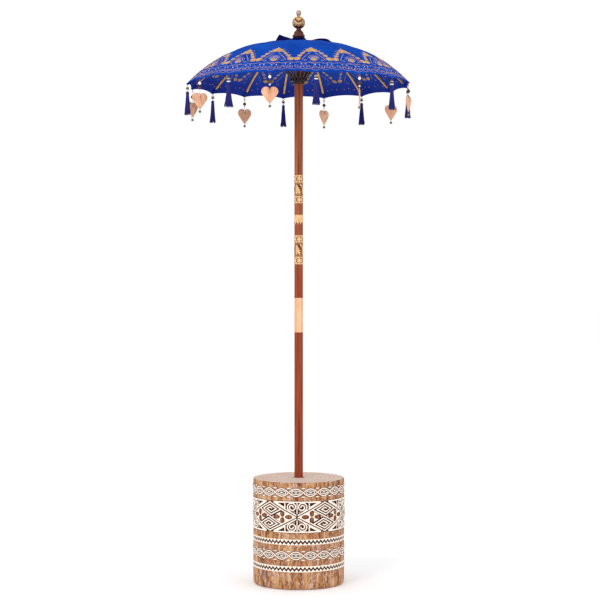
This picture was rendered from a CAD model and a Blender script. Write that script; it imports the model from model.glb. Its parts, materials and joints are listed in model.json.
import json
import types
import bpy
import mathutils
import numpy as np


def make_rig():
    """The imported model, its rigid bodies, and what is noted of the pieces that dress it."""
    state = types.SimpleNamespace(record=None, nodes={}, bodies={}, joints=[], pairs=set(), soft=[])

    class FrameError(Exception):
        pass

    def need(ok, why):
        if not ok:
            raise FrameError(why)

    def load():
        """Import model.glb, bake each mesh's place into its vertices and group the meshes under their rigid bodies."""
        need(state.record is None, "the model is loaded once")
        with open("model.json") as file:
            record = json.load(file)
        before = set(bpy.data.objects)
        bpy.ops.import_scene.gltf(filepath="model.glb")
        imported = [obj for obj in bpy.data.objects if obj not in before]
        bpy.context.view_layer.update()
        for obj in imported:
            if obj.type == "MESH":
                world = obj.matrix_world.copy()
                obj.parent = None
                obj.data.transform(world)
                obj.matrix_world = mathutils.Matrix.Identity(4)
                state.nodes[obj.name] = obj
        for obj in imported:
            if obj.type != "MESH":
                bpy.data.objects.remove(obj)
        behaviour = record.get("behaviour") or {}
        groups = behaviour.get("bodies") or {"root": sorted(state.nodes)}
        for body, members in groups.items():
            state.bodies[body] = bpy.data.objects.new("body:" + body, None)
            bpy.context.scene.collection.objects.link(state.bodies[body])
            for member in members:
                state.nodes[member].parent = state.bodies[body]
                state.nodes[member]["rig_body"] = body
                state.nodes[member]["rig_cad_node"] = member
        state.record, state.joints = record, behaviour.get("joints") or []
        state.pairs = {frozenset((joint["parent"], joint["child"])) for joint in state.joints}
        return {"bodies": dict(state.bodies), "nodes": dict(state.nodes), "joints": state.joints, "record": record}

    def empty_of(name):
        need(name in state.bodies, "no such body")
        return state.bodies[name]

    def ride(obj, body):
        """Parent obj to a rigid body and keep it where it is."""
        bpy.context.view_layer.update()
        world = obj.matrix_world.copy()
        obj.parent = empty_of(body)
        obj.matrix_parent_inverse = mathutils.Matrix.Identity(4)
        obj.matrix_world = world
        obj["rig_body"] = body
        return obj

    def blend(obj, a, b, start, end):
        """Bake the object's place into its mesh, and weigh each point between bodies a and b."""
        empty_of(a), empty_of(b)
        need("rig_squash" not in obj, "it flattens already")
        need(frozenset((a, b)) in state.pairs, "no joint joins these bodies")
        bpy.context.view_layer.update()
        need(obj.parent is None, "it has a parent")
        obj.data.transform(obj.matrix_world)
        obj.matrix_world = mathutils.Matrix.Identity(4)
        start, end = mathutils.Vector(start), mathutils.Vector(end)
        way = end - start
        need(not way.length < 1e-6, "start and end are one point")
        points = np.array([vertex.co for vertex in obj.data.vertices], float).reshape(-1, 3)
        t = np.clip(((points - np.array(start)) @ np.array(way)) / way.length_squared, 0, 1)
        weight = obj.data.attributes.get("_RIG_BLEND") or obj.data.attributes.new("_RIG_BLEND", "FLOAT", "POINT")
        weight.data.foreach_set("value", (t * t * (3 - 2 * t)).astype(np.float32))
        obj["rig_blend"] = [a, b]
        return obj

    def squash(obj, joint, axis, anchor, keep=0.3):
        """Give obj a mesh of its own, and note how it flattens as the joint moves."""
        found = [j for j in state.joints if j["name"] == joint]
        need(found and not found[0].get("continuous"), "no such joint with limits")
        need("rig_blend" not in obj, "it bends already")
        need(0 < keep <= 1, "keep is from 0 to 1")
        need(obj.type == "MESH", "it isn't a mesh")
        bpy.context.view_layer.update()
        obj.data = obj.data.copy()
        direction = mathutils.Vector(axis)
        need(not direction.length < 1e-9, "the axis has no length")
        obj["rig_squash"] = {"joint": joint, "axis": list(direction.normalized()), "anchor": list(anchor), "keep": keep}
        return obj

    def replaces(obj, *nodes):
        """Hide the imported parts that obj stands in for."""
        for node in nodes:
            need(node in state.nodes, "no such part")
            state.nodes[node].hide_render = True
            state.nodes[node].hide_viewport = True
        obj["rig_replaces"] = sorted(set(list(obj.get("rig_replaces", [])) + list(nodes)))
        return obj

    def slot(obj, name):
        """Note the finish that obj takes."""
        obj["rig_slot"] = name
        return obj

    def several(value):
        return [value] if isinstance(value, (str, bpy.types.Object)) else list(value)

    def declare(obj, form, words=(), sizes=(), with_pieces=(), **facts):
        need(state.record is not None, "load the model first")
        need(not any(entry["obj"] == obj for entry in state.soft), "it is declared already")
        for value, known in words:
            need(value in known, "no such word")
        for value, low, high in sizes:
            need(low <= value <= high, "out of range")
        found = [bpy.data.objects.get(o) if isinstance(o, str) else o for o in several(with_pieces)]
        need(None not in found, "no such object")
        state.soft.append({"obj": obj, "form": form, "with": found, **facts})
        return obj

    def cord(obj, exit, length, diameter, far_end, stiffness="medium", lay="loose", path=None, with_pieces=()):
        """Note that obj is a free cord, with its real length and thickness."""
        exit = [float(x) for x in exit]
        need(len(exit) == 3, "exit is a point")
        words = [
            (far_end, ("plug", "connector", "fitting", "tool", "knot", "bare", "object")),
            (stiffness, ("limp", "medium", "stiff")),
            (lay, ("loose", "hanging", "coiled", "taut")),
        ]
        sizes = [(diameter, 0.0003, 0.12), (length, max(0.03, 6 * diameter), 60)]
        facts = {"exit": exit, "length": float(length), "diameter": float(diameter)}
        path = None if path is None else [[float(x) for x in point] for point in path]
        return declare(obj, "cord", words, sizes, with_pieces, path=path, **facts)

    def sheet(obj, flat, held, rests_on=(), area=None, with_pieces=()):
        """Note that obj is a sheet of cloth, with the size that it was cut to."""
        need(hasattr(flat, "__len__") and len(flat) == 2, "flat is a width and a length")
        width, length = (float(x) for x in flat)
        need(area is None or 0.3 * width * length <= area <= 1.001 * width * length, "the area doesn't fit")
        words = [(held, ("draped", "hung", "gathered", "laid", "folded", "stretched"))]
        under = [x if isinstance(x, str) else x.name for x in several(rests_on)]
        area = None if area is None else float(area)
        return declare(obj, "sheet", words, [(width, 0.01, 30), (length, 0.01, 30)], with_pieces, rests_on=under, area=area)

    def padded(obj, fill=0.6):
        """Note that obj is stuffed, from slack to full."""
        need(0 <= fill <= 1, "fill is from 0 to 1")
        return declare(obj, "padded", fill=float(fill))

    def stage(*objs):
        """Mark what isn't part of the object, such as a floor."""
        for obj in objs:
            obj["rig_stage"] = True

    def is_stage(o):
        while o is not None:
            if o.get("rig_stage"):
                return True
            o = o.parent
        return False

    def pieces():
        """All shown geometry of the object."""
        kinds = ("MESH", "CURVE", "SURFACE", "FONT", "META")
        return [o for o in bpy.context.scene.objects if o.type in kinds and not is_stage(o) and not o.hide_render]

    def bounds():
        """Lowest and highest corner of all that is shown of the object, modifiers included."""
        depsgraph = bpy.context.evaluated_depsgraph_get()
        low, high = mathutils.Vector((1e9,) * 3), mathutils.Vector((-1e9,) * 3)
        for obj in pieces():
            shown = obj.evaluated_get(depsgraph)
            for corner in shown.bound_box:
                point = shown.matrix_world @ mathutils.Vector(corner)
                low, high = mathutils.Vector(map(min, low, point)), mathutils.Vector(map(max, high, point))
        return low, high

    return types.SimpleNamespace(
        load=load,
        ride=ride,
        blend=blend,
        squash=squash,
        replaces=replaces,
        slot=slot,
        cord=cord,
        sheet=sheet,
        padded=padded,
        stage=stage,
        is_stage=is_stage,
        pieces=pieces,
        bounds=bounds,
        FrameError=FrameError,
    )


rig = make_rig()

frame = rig.load()
cad_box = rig.bounds()

import json
import math
import random

import bmesh
import bpy
from mathutils import Matrix, Vector

TAU = 2 * math.pi
MM = 0.001
draw = random.Random(16)

# The frame's own sizes, in millimetres and degrees
DRUM_R = 200
POLE_R = 19
RIBS, FIRST_ANGLE, PITCH = 16, 8.5, 22.5
RIM_Z, RIM_R, DOME_H, DOME_POWER = 2183, 496, 190, 2.8
CLOTH_T, CLOTH_GAP, SCALLOP = 1.6, 0.5, 8
EYE_R, FINIAL_Z = 489, 2398
HALF = math.radians(PITCH / 2)   # half a sector of the canopy


# ---------------------------------------------------------------- meshes

class Shell:
    """Collects vertices and faces, in metres, and makes one piece of them."""

    def __init__(self):
        self.points, self.faces, self.kinds = [], [], []

    def add(self, points, faces, kind=0):
        first = len(self.points)
        self.points += [tuple(p) for p in points]
        self.faces += [tuple(i + first for i in f) for f in faces]
        self.kinds += [kind] * len(faces)

    def loft(self, rings, kind=0, looped=False):
        """Skins a row of closed rings of points, and caps both ends unless the row is a loop."""
        n, rows = len(rings[0]), len(rings)
        faces = []
        for i in range(rows if looped else rows - 1):
            here, there = i * n, (i + 1) % rows * n
            for j in range(n):
                k = (j + 1) % n
                faces.append((here + j, here + k, there + k, there + j))
        if not looped:
            faces.append(tuple(range(n - 1, -1, -1)))
            faces.append(tuple(range((rows - 1) * n, rows * n)))
        self.add([p for ring in rings for p in ring], faces, kind)

    def piece(self, name, body, slot, materials, crease=40):
        mesh = bpy.data.meshes.new(name)
        mesh.from_pydata(self.points, [], self.faces)
        for material in materials:
            mesh.materials.append(material)
        mesh.polygons.foreach_set("material_index", self.kinds)
        mesh.polygons.foreach_set("use_smooth", [True] * len(self.faces))
        mesh.update()
        face_outwards(mesh)
        mesh.set_sharp_from_angle(angle=math.radians(crease))
        piece = linked(name, mesh)
        if body:                     # without one, the caller blends the piece between two
            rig.ride(piece, body)
        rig.slot(piece, slot)
        return piece


def linked(name, data):
    """A new object in the scene."""
    thing = bpy.data.objects.new(name, data)
    bpy.context.scene.collection.objects.link(thing)
    return thing


def face_outwards(mesh):
    work = bmesh.new()
    work.from_mesh(mesh)
    bmesh.ops.recalc_face_normals(work, faces=work.faces)
    work.to_mesh(mesh)
    work.free()


def dense(path, step):
    """Adds points to a path of (u, v) points so that none are further apart than step."""
    out = [path[0]]
    for a, b in zip(path, path[1:]):
        n = max(1, math.ceil(math.dist(a, b) / step))
        out += [tuple(p + (q - p) * i / n for p, q in zip(a, b)) for i in range(1, n + 1)]
    return out


def closed(outline, step):
    """A closed outline with points added so that none are further apart than step."""
    return dense(outline + outline[:1], step)[:-1]


def sides(path, looped, around=0):
    """At each point of a flat path, the vector to its left edge for a width of 1, mitred at corners.
    A loop that goes round a girth closes that much further along."""
    out, n = [], len(path)
    for i, p in enumerate(path):
        before = path[i - 1] if i else (path[-1][0] - around, path[-1][1]) if looped else None
        after = path[i + 1] if i < n - 1 else (path[0][0] + around, path[0][1]) if looped else None
        steps = []
        for a, b in ((before, p), (p, after)):
            if a and b and math.dist(a, b) > 1e-9:
                long = math.dist(a, b)
                steps.append((-(b[1] - a[1]) / long, (b[0] - a[0]) / long))
        x, y = sum(s[0] for s in steps), sum(s[1] for s in steps)
        size = max(math.hypot(x, y), 1e-9)
        x, y = x / size, y / size
        reach = max(0.5, x * steps[0][0] + y * steps[0][1])
        out.append((x / reach, y / reach))
    return out


def ribbon(shell, path, width, low, high, place, kind=0, looped=False, step=8, taper=False,
           around=0):
    """A rounded bar along a path on a surface. place(u, v, height) says where a surface point is."""
    path = dense(path + [(path[0][0] + around, path[0][1])] if looped else path, step)
    if looped:
        path = path[:-1]
    rings = []
    for i, ((u, v), (x, y)) in enumerate(zip(path, sides(path, looped, around))):
        w = width / 2
        if taper:
            w *= max(0.12, math.sin(math.pi * (i + 0.4) / (len(path) - 0.2)) ** 0.6)
        rings.append([place(u + x * w * s, v + y * w * s, h)
                      for s, h in ((-1, low), (-0.62, high), (0.62, high), (1, low))])
    shell.loft(rings, kind, looped)


def patch(shell, outline, low, high, place, kind=0, rings=2, bevel=0.9):
    """A low raised field on a surface, with a bevelled edge, from a closed outline of (u, v) points."""
    n = len(outline)
    cu, cv = sum(p[0] for p in outline) / n, sum(p[1] for p in outline) / n
    reach = max(math.dist(p, (cu, cv)) for p in outline)
    inner = max(0.3, 1 - bevel / reach)
    scales = [(1, low), (inner, high)] + [(inner * (1 - i / rings), high) for i in range(1, rings)]
    points = [place(cu + (u - cu) * s, cv + (v - cv) * s, h) for s, h in scales for u, v in outline]
    top, bottom = len(points), len(points) + 1
    points += [place(cu, cv, high), place(cu, cv, low)]
    faces = []
    for j in range(n):
        k = (j + 1) % n
        for i in range(len(scales) - 1):
            faces.append((i * n + j, i * n + k, (i + 1) * n + k, (i + 1) * n + j))
        last = (len(scales) - 1) * n
        faces += [(last + j, last + k, top), (k, j, bottom)]
    shell.add(points, faces, kind)


def arc(centre, radii, start, end, n):
    """Points of an arc or ellipse part, in degrees."""
    a, b = radii if isinstance(radii, tuple) else (radii, radii)
    out = []
    for i in range(n + 1):
        t = math.radians(start + (end - start) * i / n)
        out.append((centre[0] + a * math.cos(t), centre[1] + b * math.sin(t)))
    return out


def oval(centre, a, b, n=14):
    return arc(centre, (a, b), 0, 360 * (n - 1) / n, n - 1)


def leaf(centre, a, b, turn=0, n=6):
    """A pointed oval, 2a long and 2b wide, turned by some degrees."""
    points = [(a * math.cos(math.pi * i / n), b * math.sin(math.pi * i / n)) for i in range(n + 1)]
    points += [(x, -y) for x, y in points[-2:0:-1]]
    c, s = math.cos(math.radians(turn)), math.sin(math.radians(turn))
    return [(centre[0] + x * c - y * s, centre[1] + x * s + y * c) for x, y in points]


def curl(centre, start, end, radius, n=36):
    """A spiral about a centre: radius(angle) in millimetres, for angles in degrees."""
    out = []
    for i in range(n + 1):
        t = start + (end - start) * i / n
        out.append((centre[0] + radius(t) * math.cos(math.radians(t)),
                    centre[1] + radius(t) * math.sin(math.radians(t))))
    return out


def wrapped(radius):
    """Surface coordinates round an upright cylinder: u along the girth from the front, v the height."""
    def place(u, v, h):
        a = u / radius
        return ((radius + h) * math.sin(a) * MM, -(radius + h) * math.cos(a) * MM, v * MM)
    return place


def polar(centre, r, angle, z):
    """A point r away from an upright axis and z above the centre, in metres from millimetres."""
    return ((centre[0] + r * math.cos(angle)) * MM, (centre[1] + r * math.sin(angle)) * MM,
            (centre[2] + z) * MM)


def turned(profile, n, spread=lambda a, z: 0.0, centre=(0, 0, 0)):
    """Rings of a lathe shape from (radius, height) millimetres. spread adds to the radius."""
    return [[polar(centre, r + spread(TAU * j / n, z), TAU * j / n, z) for j in range(n)]
            for r, z in profile]


def spun(shell, outline, kind=0, n=64, centre=(0, 0, 0)):
    """A closed outline of (radius, height) millimetres, or a function of the angle that gives one,
    spun about an upright axis."""
    rings = []
    for j in range(n):
        a = TAU * j / n
        rings.append([polar(centre, r, a, z)
                      for r, z in (outline(a) if callable(outline) else outline)])
    shell.loft(rings, kind, True)


def tube(shell, path, radius, kind=0, n=8, looped=False):
    """A round bar along a path of points in metres. radius is a number or one for each point."""
    rings, count = [], len(path)
    side = None
    for i, p in enumerate(path):
        a = path[(i - 1) % count] if i or looped else p
        b = path[(i + 1) % count] if i < count - 1 or looped else p
        along = (Vector(b) - Vector(a)).normalized()
        if side is None:
            side = along.orthogonal().normalized()
        side = (side - along * side.dot(along)).normalized()
        other = along.cross(side)
        r = radius[i] if isinstance(radius, (list, tuple)) else radius
        rings.append([Vector(p) + (side * math.cos(TAU * j / n) + other * math.sin(TAU * j / n)) * r
                      for j in range(n)])
    shell.loft(rings, kind, looped)


def lay_out(piece, flat):
    """Gives a piece of cloth its flat map: flat(vertex) is the vertex's place on it, in metres."""
    layer = piece.data.uv_layers.new(name="cloth")
    for loop in piece.data.loops:
        layer.data[loop.index].uv = flat(piece.data.vertices[loop.vertex_index])


# ---------------------------------------------------------------- materials

def tint(r, g, b):
    """A colour of 0 to 255 screen values as the linear colour that a shader takes."""
    return tuple(c / 255 / 12.92 if c <= 10 else ((c / 255 + 0.055) / 1.055) ** 2.4
                 for c in (r, g, b)) + (1.0,)


class Shade:
    """One node material, built up in small steps."""

    def __init__(self, name, **sockets):
        self.material = bpy.data.materials.new(name)
        self.material.use_nodes = True
        self.tree = self.material.node_tree
        self.surface = self.tree.nodes["Principled BSDF"]
        for socket, value in sockets.items():
            self.surface.inputs[socket.replace("_", " ")].default_value = value
        self.place = self.put("TexCoord").outputs["Object"]
        self.normal = None

    def put(self, kind, inputs=None, **settings):
        node = self.tree.nodes.new("ShaderNode" + kind)
        for key, value in settings.items():
            setattr(node, key, value)
        for key, value in (inputs or {}).items():
            if isinstance(value, bpy.types.NodeSocket):
                self.tree.links.new(value, node.inputs[key])
            else:
                node.inputs[key].default_value = value
        return node

    def scaled(self, x, y, z, source=None):
        return self.put("Mapping", {"Vector": source or self.place, "Scale": (x, y, z)}).outputs[0]

    def noise(self, scale, along=1, detail=3.0, rough=0.55, warp=0.0, source=None):
        """A noise, stretched upwards when along is small. along may be a scale for each axis."""
        vector = self.scaled(*(along if isinstance(along, tuple) else (1, 1, along)), source)
        return self.put("TexNoise", {"Vector": vector, "Scale": scale, "Detail": detail,
                                     "Roughness": rough, "Distortion": warp}).outputs["Fac"]

    def ramp(self, value, *stops):
        node = self.put("ValToRGB", {"Fac": value})
        band = node.color_ramp
        while len(band.elements) < len(stops):
            band.elements.new(0.5)
        for element, (at, colour) in zip(band.elements, stops):
            element.position, element.color = at, colour
        return node.outputs["Color"]

    def span(self, value, low, high, to_low=0.0, to_high=1.0):
        return self.put("MapRange", {"Value": value, "From Min": low, "From Max": high,
                                     "To Min": to_low, "To Max": to_high}).outputs["Result"]

    def mix(self, factor, a, b):
        return self.put("Mix", {0: factor, 6: a, 7: b}, data_type="RGBA").outputs[2]

    def over(self, under, pattern, low, high, most, colour):
        """Lays a colour over another where a pattern rises from low to high, most at the high end."""
        return self.mix(self.span(pattern, low, high, 0.0, most), under, colour)

    def math(self, how, a, b=0.0):
        return self.put("Math", {0: a, 1: b}, operation=how).outputs[0]

    def part(self, vector, axis):
        return self.put("SeparateXYZ", {0: vector}).outputs[axis]

    def colour(self, value):
        self.tree.links.new(value, self.surface.inputs["Base Color"])

    def rough(self, value, low, high):
        self.tree.links.new(self.span(value, 0.2, 0.8, low, high), self.surface.inputs["Roughness"])

    def bump(self, height, strength, distance):
        inputs = {"Height": height, "Strength": strength, "Distance": distance}
        if self.normal:
            inputs["Normal"] = self.normal
        self.normal = self.put("Bump", inputs).outputs["Normal"]
        self.tree.links.new(self.normal, self.surface.inputs["Normal"])


def grained(name, pattern, stops, rough, bump, fine=None, **sockets):
    """A material whose colour, roughness and bump follow one noise. fine is another for the bump."""
    s = Shade(name, **sockets)
    tone = s.noise(*pattern)
    s.colour(s.ramp(tone, *stops))
    if rough:
        s.rough(tone, *rough)
    s.bump(s.noise(*fine) if fine else tone, *bump)
    return s.material


def drum_wood():
    """Streaky upright grain under a pale rubbed wash, with dark patches, and end grain on top."""
    s = Shade("drum_wood", Roughness=0.8, Specular_IOR_Level=0.25)
    broad = s.noise(26, 0.14, 4, 0.62, 0.8)
    grain = s.noise(150, 0.06, 4, 0.66, 0.4)
    fibre = s.noise(620, 0.03, 3, 0.6)
    streak = s.math("ADD", s.math("MULTIPLY", broad, 0.55), s.math("MULTIPLY", grain, 0.45))
    wood = s.ramp(streak, (0.37, tint(84, 40, 24)), (0.44, tint(140, 82, 48)),
                  (0.50, tint(182, 122, 74)), (0.56, tint(208, 160, 108)), (0.64, tint(224, 188, 150)))
    ochre, wash = s.noise(34, 0.3, 4, 0.6, 0.4), s.noise(64, 0.42, 5, 0.76, 1.2)
    wood = s.over(wood, ochre, 0.54, 0.66, 0.5, tint(196, 148, 88))
    wood = s.over(wood, wash, 0.50, 0.59, 0.75, tint(218, 190, 174))
    dark = s.span(s.noise(74, 0.48, 5, 0.78, 1.4), 0.53, 0.61, 0.0, 0.9)
    wood = s.mix(dark, wood, tint(88, 44, 26))
    wood = s.over(wood, fibre, 0.35, 0.7, 0.34, tint(104, 58, 34))
    rings = s.put("TexWave", {"Vector": s.scaled(1, 1, 0.02), "Scale": 17.0, "Distortion": 3.0,
                              "Detail": 3.0, "Detail Scale": 1.6}, wave_type="RINGS",
                  rings_direction="Z").outputs["Fac"]
    pores = s.noise(420, 0.05, 3, 0.7)
    end = s.mix(s.span(rings, 0.1, 0.9, 0.0, 0.5), tint(218, 198, 186), tint(186, 156, 138))
    end = s.over(end, pores, 0.5, 0.75, 0.6, tint(160, 128, 108))
    end = s.mix(s.span(s.noise(9, detail=3), 0.4, 0.7, 0.0, 0.35), end, tint(190, 150, 120))
    facing = s.part(s.put("TexCoord").outputs["Normal"], "Z")
    top = s.span(s.math("ABSOLUTE", facing), 0.75, 0.92)
    s.colour(s.mix(top, wood, end))
    s.rough(grain, 0.66, 0.9)
    s.bump(grain, 0.5, 0.0016)
    s.bump(dark, 0.3, 0.0010)
    s.bump(fibre, 0.35, 0.0005)
    return s.material


def petal_wood():
    """The drum's wood where it is cut back and stained inside the carving."""
    return grained("petal_wood", (130, 0.2, 4, 0.7, 0.6),
                   ((0.34, tint(70, 34, 20)), (0.5, tint(132, 78, 48)), (0.64, tint(176, 118, 80))),
                   (0.75, 0.92), (0.5, 0.0010), Roughness=0.85, Specular_IOR_Level=0.2)


def whitewash():
    """White paint rubbed on the carved ridges, worn thin here and there."""
    s = Shade("whitewash", Roughness=0.8, Specular_IOR_Level=0.3)
    patchy = s.noise(90, 0.5, 4, 0.65)
    paint = s.ramp(patchy, (0.3, tint(250, 240, 230)), (0.6, tint(246, 228, 212)),
                   (0.8, tint(234, 208, 190)))
    worn = s.span(s.noise(260, 0.4, 4, 0.75), 0.66, 0.76)
    s.colour(s.mix(s.math("MULTIPLY", worn, 0.75), paint, tint(196, 142, 104)))
    s.rough(patchy, 0.7, 0.9)
    s.bump(s.noise(500, 0.3, 3), 0.4, 0.0006)
    return s.material


def carved_groove():
    """The stained bottom of the carver's grooves."""
    return grained("carved_groove", (110, 0.2, 4, 0.7),
                   ((0.3, tint(30, 15, 11)), (0.55, tint(62, 32, 22)), (0.75, tint(120, 72, 48))),
                   (0.8, 0.95), (0.5, 0.0008), Roughness=0.9, Specular_IOR_Level=0.1)


def pole_wood():
    """Red-brown oiled wood with long straight grain, lighter towards the top."""
    s = Shade("pole_wood", Roughness=0.42, Specular_IOR_Level=0.22)
    grain = s.noise(230, 0.018, 5, 0.6, 0.6)
    fine = s.noise(1100, 0.02, 3, 0.6)
    low = s.ramp(grain, (0.32, tint(84, 26, 8)), (0.5, tint(138, 52, 20)), (0.7, tint(164, 74, 34)))
    high = s.ramp(grain, (0.32, tint(92, 38, 14)), (0.5, tint(154, 76, 38)), (0.7, tint(186, 106, 60)))
    height = s.span(s.part(s.place, "Z"), 1.25, 1.6)
    wood = s.mix(height, low, high)
    wood = s.over(wood, fine, 0.55, 0.8, 0.45, tint(70, 28, 18))
    s.colour(wood)
    s.rough(grain, 0.34, 0.52)
    s.bump(grain, 0.35, 0.0004)
    s.bump(fine, 0.3, 0.0002)
    return s.material


def dark_wood():
    """Nearly black turned hardwood."""
    return grained("dark_wood", (160, 0.2, 4, 0.6, 0.4),
                   ((0.3, tint(30, 17, 14)), (0.6, tint(62, 34, 24)), (0.8, tint(92, 54, 36))),
                   (0.4, 0.6), (0.4, 0.0004), Roughness=0.5)


def brushed(name, colour, darker, roughness):
    """A metal brushed round its length, with faint stains and finer scratches."""
    s = Shade(name, Metallic=0.85)
    brush = s.noise(900, (0.06, 0.06, 1), 3, 0.6)
    stain = s.noise(24, detail=4)
    s.colour(s.over(colour, stain, 0.35, 0.75, 0.5, darker))
    s.rough(brush, roughness - 0.08, roughness + 0.1)
    s.bump(brush, 0.25, 0.0001)
    return s.material


THREADS = 340.0                  # how close the cloth's woven threads are


def cloth(name, light, deep, lit=None):
    """Plain-woven cloth: thread bump from the sheet's own map, and a slow change of colour. Where
    it is high up, daylight through the cloth turns it towards the lit colour."""
    s = Shade(name, Roughness=0.9, Specular_IOR_Level=0.02, Sheen_Weight=0.12,
              Sheen_Roughness=0.5, Sheen_Tint=light)
    sheet = s.put("TexCoord").outputs["UV"]
    weave = s.math("MULTIPLY", *(
        s.put("TexWave", {"Vector": sheet, "Scale": THREADS, "Distortion": 0.6, "Detail": 1.0},
              bands_direction=way).outputs["Fac"] for way in "XY"))
    slow = s.noise(9, detail=4, rough=0.6)
    slub = s.noise(1.0, (700, 60, 1), 3, 0.6, source=sheet)
    colour = s.ramp(slow, (0.3, deep), (0.7, light))
    colour = s.over(colour, slub, 0.45, 0.8, 0.35, deep)
    if lit:
        colour = s.mix(s.span(s.part(s.place, "Z"), 2.22, 2.34), colour, lit)
    s.colour(s.mix(s.math("MULTIPLY", weave, 0.18), colour, light))
    s.rough(slow, 0.82, 0.96)
    s.bump(weave, 0.35, 0.0003)
    s.bump(s.noise(40, detail=3), 0.25, 0.003)
    return s.material


def gold_paint(name, light, mid, dark):
    """Brushed-on gold paint, uneven and darker where it is thin."""
    return grained(name, (70, 1, 4, 0.65), ((0.32, dark), (0.48, mid), (0.66, light)),
                   (0.38, 0.62), (0.4, 0.0003), (700, 1, 3), Metallic=0.25, Roughness=0.5)


def gilt(name, light, mid, dark, metallic):
    """Gilding over wood, rubbed through to the dark wood along the grain."""
    s = Shade(name, Metallic=metallic, Roughness=0.45)
    leaf_tone = s.noise(55, detail=4, rough=0.6)
    rubbed = s.noise(330, 0.25, 4, 0.7)
    tone = s.ramp(leaf_tone, (0.34, mid), (0.62, light))
    s.colour(s.over(tone, rubbed, 0.56, 0.72, 0.9, dark))
    s.rough(rubbed, 0.32, 0.6)
    s.bump(rubbed, 0.4, 0.0004)
    return s.material


def heart_wood():
    """Pale polished wood with fine figure."""
    s = Shade("heart_wood", Roughness=0.38, Coat_Weight=0.25, Coat_Roughness=0.25)
    figure = s.noise(48, 0.35, 4, 0.6, 1.2)
    pore = s.noise(900, 0.12, 3, 0.6)
    wood = s.ramp(figure, (0.3, tint(184, 120, 86)), (0.5, tint(214, 156, 118)),
                  (0.72, tint(230, 182, 148)))
    s.colour(s.over(wood, pore, 0.58, 0.75, 0.5, tint(150, 92, 64)))
    s.rough(figure, 0.3, 0.46)
    s.bump(pore, 0.25, 0.0002)
    return s.material


def speckled(name, light, dark, roughness, scale=420, metallic=0.0):
    """A small hard thing with a mottled colour: a bead, thread or stained wood."""
    return grained(name, (scale, 1, 3, 0.6), ((0.35, dark), (0.6, light)),
                   (roughness - 0.08, roughness + 0.1), (0.3, 0.0002), Metallic=metallic,
                   Specular_IOR_Level=0.3)


def silk(name, light, deep):
    """Tassel thread: twisted, with a soft sheen along it."""
    return grained(name, (900, 0.06, 3, 0.6), ((0.35, deep), (0.65, light)),
                   (0.5, 0.72), (0.4, 0.0002), (2400, 0.5, 2), Roughness=0.6,
                   Sheen_Weight=0.08, Sheen_Roughness=0.35, Specular_IOR_Level=0.3)


def floor_paper():
    """The studio's pale floor."""
    return grained("floor_paper", (3, 1, 3),
                   ((0.3, tint(252, 252, 252)), (0.7, tint(254, 254, 254))), None, (0.1, 0.0005),
                   (60, 1, 2), Roughness=0.9)


WHITEWASH, GROOVE, DRUM_WOOD, PETAL_WOOD = whitewash(), carved_groove(), drum_wood(), petal_wood()
POLE_WOOD, DARK_WOOD = pole_wood(), dark_wood()
FERRULE = brushed("ferrule_metal", tint(238, 188, 148), tint(208, 150, 110), 0.34)
LATCH = brushed("latch_metal", tint(190, 188, 182), tint(120, 112, 100), 0.36)
CLOTH = cloth("blue_cloth", tint(14, 74, 173), tint(9, 54, 148))
LINING = cloth("blue_cloth_under", tint(30, 50, 138), tint(20, 34, 112), tint(32, 78, 178))
TIE_CLOTH = cloth("navy_cloth", tint(14, 16, 84), tint(6, 8, 48))
GOLD = gold_paint("gold_paint", tint(212, 172, 104), tint(190, 142, 88), tint(148, 88, 70))
PALE = gold_paint("pale_paint", tint(232, 226, 232), tint(204, 190, 204), tint(150, 130, 160))
GOLD_THIN = gold_paint("gold_paint_under", tint(182, 140, 82), tint(142, 104, 62), tint(84, 56, 58))
BAND_GOLD = gilt("band_gold", tint(232, 186, 136), tint(212, 158, 104), tint(136, 78, 42), 0.15)
BAND_DARK = speckled("band_dark", tint(98, 46, 18), tint(52, 20, 8), 0.6, 300)
RIB_GILT = gilt("rib_gilt", tint(206, 160, 84), tint(172, 122, 58), tint(86, 54, 26), 0.2)
STRUT_GILT = gilt("strut_gilt", tint(74, 50, 44), tint(50, 34, 38), tint(26, 18, 24), 0.1)
FINIAL_GOLD = gilt("finial_gold", tint(224, 184, 118), tint(176, 128, 68), tint(104, 56, 28), 0.3)
FINIAL_PALE = gilt("finial_pale", tint(214, 190, 150), tint(176, 148, 110), tint(112, 80, 54), 0.2)
FINIAL_KNOB = gilt("finial_knob", tint(176, 156, 128), tint(136, 112, 86), tint(92, 64, 42), 0.2)
FINIAL_DARK = speckled("finial_dark", tint(100, 43, 22), tint(42, 16, 8), 0.5, 120)
FINIAL_RED = speckled("finial_red", tint(132, 40, 26), tint(74, 20, 14), 0.5, 220)
HEART = heart_wood()
PEARL = speckled("pearl_bead", tint(250, 246, 240), tint(226, 214, 206), 0.3)
NUT = speckled("nut_bead", tint(84, 54, 34), tint(40, 26, 20), 0.45, 300)
ASH = speckled("ash_bead", tint(136, 120, 92), tint(76, 66, 50), 0.5, 300)
BONE = speckled("bone_bead", tint(196, 188, 160), tint(136, 124, 98), 0.4, 300)
WIRE = speckled("wire", tint(128, 102, 66), tint(74, 56, 36), 0.45, 600, 0.3)
CORD = speckled("cord", tint(96, 74, 54), tint(48, 36, 28), 0.85, 1500)
SILK = silk("navy_silk", tint(30, 30, 138), tint(12, 12, 78))
SILK_CORE = silk("navy_silk_core", tint(12, 12, 74), tint(5, 5, 38))
FLOOR = floor_paper()


# ---------------------------------------------------------------- camera, lights and floor

def make_camera():
    data = bpy.data.cameras.new("main_camera")
    data.lens, data.sensor_width = 99.06, 36
    data.clip_end = 100
    camera = linked("main_camera", data)
    camera.location = (0.0057, -7.264, 1.337)
    camera.rotation_euler = (math.radians(90 - 0.735), 0, 0)
    bpy.context.scene.camera = camera


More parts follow.
